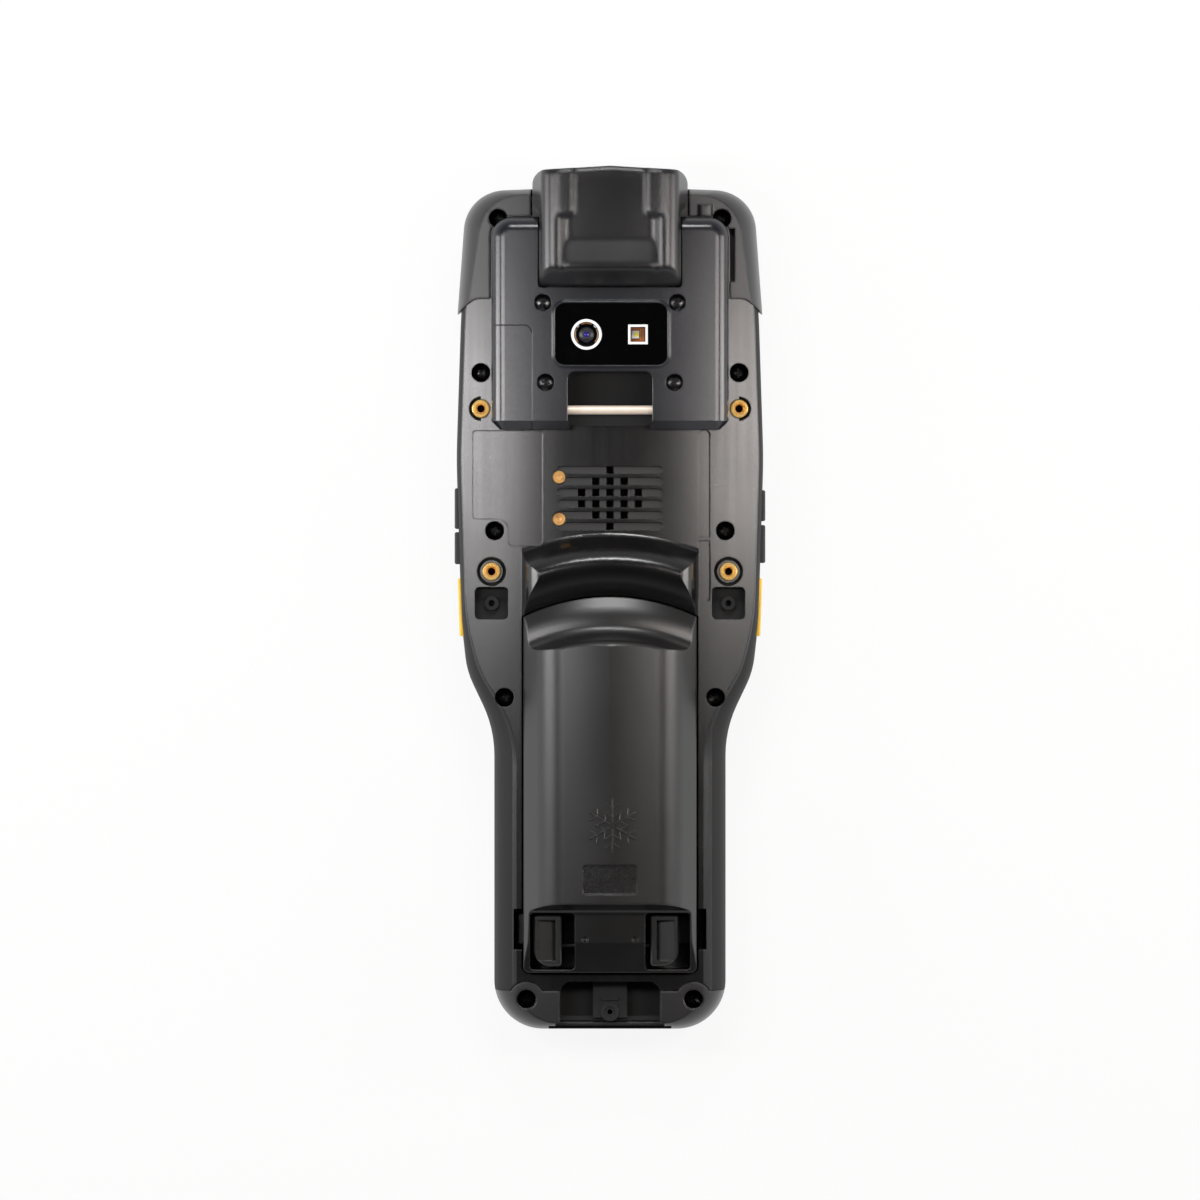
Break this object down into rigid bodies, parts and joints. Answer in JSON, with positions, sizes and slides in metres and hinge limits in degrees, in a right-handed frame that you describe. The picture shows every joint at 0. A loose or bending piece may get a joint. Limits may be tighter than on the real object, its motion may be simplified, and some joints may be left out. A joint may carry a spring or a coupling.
{
  "type": "handheld barcode terminal",
  "caption": "Rugged handheld barcode terminal with camera, scanner hood, keypad, removable battery pack and strap fixings",
  "frame": {"origin": "under the middle of the outline, on the surface that the terminal lies on, display side down", "axes": "+Y towards the scanner end, +Z out of the back, +X to the right when looking at the back"},
  "size_m": [0.0794, 0.22, 0.0383],
  "materials": {
    "housing_plastic": "satin moulded plastic",
    "bumper_rubber": "fine textured rubber",
    "hood_plastic": "grained moulded plastic",
    "cover_plastic": "satin moulded plastic",
    "window_black": "polished",
    "ring_white": "printed",
    "module_black": "matt",
    "lens_glass": "coated lens",
    "flash_board": "solder resist",
    "led_white": "moulded",
    "screw_black": "black oxide",
    "insert_brass": "knurled",
    "contact_gold": "plated",
    "pin_steel": "drawn",
    "battery_plastic": "grained moulded plastic",
    "cell_wrap": "shrink wrap",
    "latch_plastic": "satin",
    "display_glass": "polished",
    "panel_grey": "smooth",
    "frame_metal": "cast",
    "board_green": "solder resist",
    "speaker_black": "pressed",
    "connector_black": "moulded",
    "seal_rubber": "moulded",
    "scan_glass": "polished",
    "trigger_yellow": "satin",
    "key_rubber": "satin",
    "side_key_plastic": "satin"
  },
  "bodies": {
    "housing": {"battery_contacts": "contact_gold", "bottom_bumper": "bumper_rubber", "camera_cover": "cover_plastic", "camera_lens": "lens_glass", "camera_module": "module_black", "camera_window": "window_black", "cover_screws": "screw_black", "display_glass": "display_glass", "display_panel": "panel_grey", "dock_connector": "connector_black", "flash_board": "flash_board", "flash_led": "led_white", "front_housing": "housing_plastic", "grip_contacts": "contact_gold", "housing_screws": "screw_black", "housing_seal": "seal_rubber", "keypad_board": "board_green", "main_board": "board_green", "mid_frame": "frame_metal", "rear_housing": "housing_plastic", "scan_engine": "module_black", "scan_window": "scan_glass", "scanner_hood": "hood_plastic", "side_access_cover": "cover_plastic", "speaker": "speaker_black", "strap_inserts": "insert_brass", "strap_pin": "pin_steel", "top_bumper": "bumper_rubber", "window_rings": "ring_white"},
    "battery_pack": {"battery_case": "battery_plastic", "battery_base": "battery_plastic", "battery_pads": "contact_gold", "battery_cells": "cell_wrap"},
    "latch_left_body": {"latch_left": "latch_plastic"},
    "latch_right_body": {"latch_right": "latch_plastic"},
    "number_key_01_body": {"number_key_01": "key_rubber"},
    "number_key_02_body": {"number_key_02": "key_rubber"},
    "number_key_03_body": {"number_key_03": "key_rubber"},
    "number_key_04_body": {"number_key_04": "key_rubber"},
    "number_key_05_body": {"number_key_05": "key_rubber"},
    "number_key_06_body": {"number_key_06": "key_rubber"},
    "number_key_07_body": {"number_key_07": "key_rubber"},
    "number_key_08_body": {"number_key_08": "key_rubber"},
    "number_key_09_body": {"number_key_09": "key_rubber"},
    "number_key_10_body": {"number_key_10": "key_rubber"},
    "number_key_11_body": {"number_key_11": "key_rubber"},
    "number_key_12_body": {"number_key_12": "key_rubber"},
    "number_key_13_body": {"number_key_13": "key_rubber"},
    "number_key_14_body": {"number_key_14": "key_rubber"},
    "number_key_15_body": {"number_key_15": "key_rubber"},
    "number_key_16_body": {"number_key_16": "key_rubber"},
    "scan_key_body": {"scan_key": "trigger_yellow"},
    "side_key_left_1_body": {"side_key_left_1": "side_key_plastic"},
    "side_key_left_2_body": {"side_key_left_2": "side_key_plastic"},
    "side_key_right_1_body": {"side_key_right_1": "side_key_plastic"},
    "side_key_right_2_body": {"side_key_right_2": "side_key_plastic"},
    "soft_key_left_body": {"soft_key_left": "key_rubber"},
    "soft_key_right_body": {"soft_key_right": "key_rubber"},
    "trigger_left_body": {"trigger_left": "trigger_yellow"},
    "trigger_right_body": {"trigger_right": "trigger_yellow"}
  },
  "joints": [
    {"name": "battery_lift", "type": "slide", "parent": "housing", "child": "battery_pack", "axis": [0, 0, 1], "range_m": [0, 0.032]},
    {"name": "latch_left_slide", "type": "slide", "parent": "battery_pack", "child": "latch_left_body", "axis": [1, 0, 0], "range_m": [-0.0008, 0.003]},
    {"name": "latch_right_slide", "type": "slide", "parent": "battery_pack", "child": "latch_right_body", "axis": [-1, 0, 0], "range_m": [-0.0028, 0.001]},
    {"name": "number_key_01_press", "type": "slide", "parent": "housing", "child": "number_key_01_body", "axis": [0, 0, 1], "range_m": [0, 0.0009], "stiffness_N_per_m": 1500},
    {"name": "number_key_02_press", "type": "slide", "parent": "housing", "child": "number_key_02_body", "axis": [0, 0, 1], "range_m": [0, 0.0009], "stiffness_N_per_m": 1500},
    {"name": "number_key_03_press", "type": "slide", "parent": "housing", "child": "number_key_03_body", "axis": [0, 0, 1], "range_m": [0, 0.0009], "stiffness_N_per_m": 1500},
    {"name": "number_key_04_press", "type": "slide", "parent": "housing", "child": "number_key_04_body", "axis": [0, 0, 1], "range_m": [0, 0.0009], "stiffness_N_per_m": 1500},
    {"name": "number_key_05_press", "type": "slide", "parent": "housing", "child": "number_key_05_body", "axis": [0, 0, 1], "range_m": [0, 0.0009], "stiffness_N_per_m": 1500},
    {"name": "number_key_06_press", "type": "slide", "parent": "housing", "child": "number_key_06_body", "axis": [0, 0, 1], "range_m": [0, 0.0009], "stiffness_N_per_m": 1500},
    {"name": "number_key_07_press", "type": "slide", "parent": "housing", "child": "number_key_07_body", "axis": [0, 0, 1], "range_m": [0, 0.0009], "stiffness_N_per_m": 1500},
    {"name": "number_key_08_press", "type": "slide", "parent": "housing", "child": "number_key_08_body", "axis": [0, 0, 1], "range_m": [0, 0.0009], "stiffness_N_per_m": 1500},
    {"name": "number_key_09_press", "type": "slide", "parent": "housing", "child": "number_key_09_body", "axis": [0, 0, 1], "range_m": [0, 0.0009], "stiffness_N_per_m": 1500},
    {"name": "number_key_10_press", "type": "slide", "parent": "housing", "child": "number_key_10_body", "axis": [0, 0, 1], "range_m": [0, 0.0009], "stiffness_N_per_m": 1500},
    {"name": "number_key_11_press", "type": "slide", "parent": "housing", "child": "number_key_11_body", "axis": [0, 0, 1], "range_m": [0, 0.0009], "stiffness_N_per_m": 1500},
    {"name": "number_key_12_press", "type": "slide", "parent": "housing", "child": "number_key_12_body", "axis": [0, 0, 1], "range_m": [0, 0.0009], "stiffness_N_per_m": 1500},
    {"name": "number_key_13_press", "type": "slide", "parent": "housing", "child": "number_key_13_body", "axis": [0, 0, 1], "range_m": [0, 0.0009], "stiffness_N_per_m": 1500},
    {"name": "number_key_14_press", "type": "slide", "parent": "housing", "child": "number_key_14_body", "axis": [0, 0, 1], "range_m": [0, 0.0009], "stiffness_N_per_m": 1500},
    {"name": "number_key_15_press", "type": "slide", "parent": "housing", "child": "number_key_15_body", "axis": [0, 0, 1], "range_m": [0, 0.0009], "stiffness_N_per_m": 1500},
    {"name": "number_key_16_press", "type": "slide", "parent": "housing", "child": "number_key_16_body", "axis": [0, 0, 1], "range_m": [0, 0.0009], "stiffness_N_per_m": 1500},
    {"name": "scan_key_press", "type": "slide", "parent": "housing", "child": "scan_key_body", "axis": [0, 0, 1], "range_m": [0, 0.0009], "stiffness_N_per_m": 1500},
    {"name": "side_key_left_1_press", "type": "slide", "parent": "housing", "child": "side_key_left_1_body", "axis": [1, 0, 0], "range_m": [0, 0.0006], "stiffness_N_per_m": 1500},
    {"name": "side_key_left_2_press", "type": "slide", "parent": "housing", "child": "side_key_left_2_body", "axis": [1, 0, 0], "range_m": [0, 0.0006], "stiffness_N_per_m": 1500},
    {"name": "side_key_right_1_press", "type": "slide", "parent": "housing", "child": "side_key_right_1_body", "axis": [-1, 0, 0], "range_m": [0, 0.0006], "stiffness_N_per_m": 1500},
    {"name": "side_key_right_2_press", "type": "slide", "parent": "housing", "child": "side_key_right_2_body", "axis": [-1, 0, 0], "range_m": [0, 0.0006], "stiffness_N_per_m": 1500},
    {"name": "soft_key_left_press", "type": "slide", "parent": "housing", "child": "soft_key_left_body", "axis": [0, 0, 1], "range_m": [0, 0.0009], "stiffness_N_per_m": 1500},
    {"name": "soft_key_right_press", "type": "slide", "parent": "housing", "child": "soft_key_right_body", "axis": [0, 0, 1], "range_m": [0, 0.0009], "stiffness_N_per_m": 1500},
    {"name": "trigger_left_press", "type": "slide", "parent": "housing", "child": "trigger_left_body", "axis": [1, 0, 0], "range_m": [0, 0.0008], "stiffness_N_per_m": 1500},
    {"name": "trigger_right_press", "type": "slide", "parent": "housing", "child": "trigger_right_body", "axis": [-1, 0, 0], "range_m": [0, 0.0008], "stiffness_N_per_m": 1500}
  ]
}
